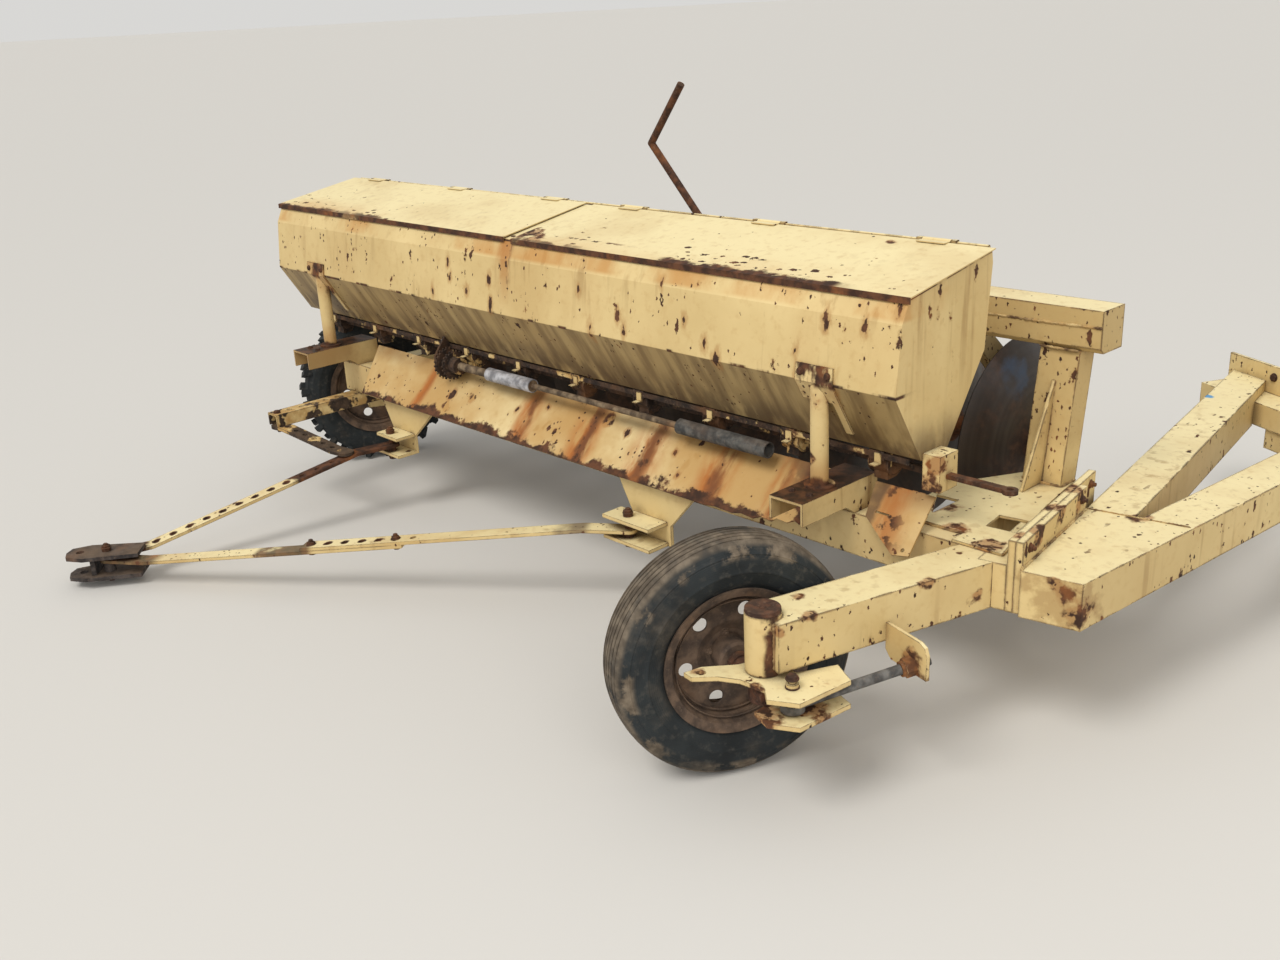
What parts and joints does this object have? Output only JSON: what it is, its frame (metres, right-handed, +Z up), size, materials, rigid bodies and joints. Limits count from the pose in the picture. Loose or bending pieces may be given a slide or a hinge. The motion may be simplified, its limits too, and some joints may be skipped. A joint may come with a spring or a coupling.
{
  "type": "disc harrow",
  "caption": "Towed one-way disc harrow with a long seed box on its front beam, a steerable front wheel, an outrigger wheel and an offset drawbar.",
  "frame": {"origin": "centre of the hitch pin's hole, midway between the hitch plates' outer faces, 75 mm above the ground", "axes": "+X along the main beam and hopper towards the steerable wheel's end, +Y from the hopper back to the disc gang, +Z up from level ground"},
  "size_m": [4.1664, 3.3054, 1.5849],
  "materials": {
    "cream_paint": "faded matt",
    "rusted_steel": "rough rust",
    "cast_feed": "rough rust",
    "grey_tube": "dull grey",
    "disc_steel": "worn, rusting",
    "tyre_rubber": "weathered rubber"
  },
  "bodies": {
    "frame": {"main_beam": "cream_paint", "rear_beams": "cream_paint", "corner_plate": "cream_paint", "flange_inner": "cream_paint", "rear_crossbar": "cream_paint", "outrigger": "cream_paint", "wheel_arm": "cream_paint", "screw_bracket": "cream_paint", "wheel_leg_far": "cream_paint", "wheel_leg_rear": "cream_paint", "upper_beam": "cream_paint", "uprights": "cream_paint", "gang_hangers": "cream_paint", "hopper_shell": "cream_paint", "hopper_ends": "cream_paint", "lid_strip": "cream_paint", "lid_hinge": "cream_paint", "hopper_posts": "cream_paint", "post_shelves": "cream_paint", "hopper_carriers": "cream_paint", "apron": "cream_paint", "drawbar_lugs": "cream_paint", "drawbar_near_front": "cream_paint", "drawbar_near_rear": "cream_paint", "drawbar_far": "cream_paint", "drawbar_brace": "cream_paint", "shutter_rail": "rusted_steel", "feed_shaft": "rusted_steel", "feed_lever": "rusted_steel", "drive_head": "rusted_steel", "drive_shaft": "rusted_steel", "hitch": "rusted_steel", "drawbar_bolts": "rusted_steel", "side_channel": "rusted_steel", "control_lever": "rusted_steel", "seed_cups": "cast_feed", "feed_casting": "cast_feed", "drive_tube": "grey_tube"},
    "knuckle_near": {"knuckle": "rusted_steel", "steering_plates": "cream_paint"},
    "screw": {"screw_rod": "rusted_steel"},
    "wheel_near": {"tyre_near": "tyre_rubber", "rim_near": "rusted_steel"},
    "wheel_far": {"tyre_far": "tyre_rubber", "rim_far": "rusted_steel"},
    "wheel_rear": {"tyre_rear": "tyre_rubber", "rim_rear": "rusted_steel"},
    "gang": {"gang_shaft": "rusted_steel", "discs": "disc_steel"},
    "lid_left": {"lid_left": "cream_paint"},
    "lid_right": {"lid_right": "cream_paint"}
  },
  "joints": [
    {"name": "steer_near", "type": "hinge", "parent": "frame", "child": "knuckle_near", "pos_m": [2.64225, 0.64702, 0.243], "axis": [0, 0, 1], "range_deg": [-1, 10]},
    {"name": "roll_near", "type": "hinge", "parent": "knuckle_near", "child": "wheel_near", "pos_m": [2.46928, 0.7109, 0.243], "axis": [-0.9135, 0.4067, 0], "continuous": true},
    {"name": "screw_slide", "type": "slide", "parent": "frame", "child": "screw", "axis": [0.4566, 0.8773, 0.1478], "range_m": [-0.005, 0.02]},
    {"name": "roll_far", "type": "hinge", "parent": "frame", "child": "wheel_far", "pos_m": [-0.38447, 1.48378, 0.243], "axis": [-0.9135, 0.4067, 0], "continuous": true},
    {"name": "roll_rear", "type": "hinge", "parent": "frame", "child": "wheel_rear", "pos_m": [3.41775, 2.76922, 0.243], "axis": [0.9135, -0.4067, 0], "continuous": true},
    {"name": "gang_turn", "type": "hinge", "parent": "frame", "child": "gang", "pos_m": [1.24225, 2.03702, 0.448], "axis": [1, 0, 0], "continuous": true},
    {"name": "lid_left_open", "type": "hinge", "parent": "frame", "child": "lid_left", "pos_m": [0.26625, 1.60302, 1.121], "axis": [-1, 0, 0], "range_deg": [0, 100]},
    {"name": "lid_right_open", "type": "hinge", "parent": "frame", "child": "lid_right", "pos_m": [1.84225, 1.60302, 1.121], "axis": [-1, 0, 0], "range_deg": [0, 100]}
  ],
  "couplings": [
    {"joint": "screw_slide", "follows": "steer_near", "m_per_rad": 0.0995}
  ]
}
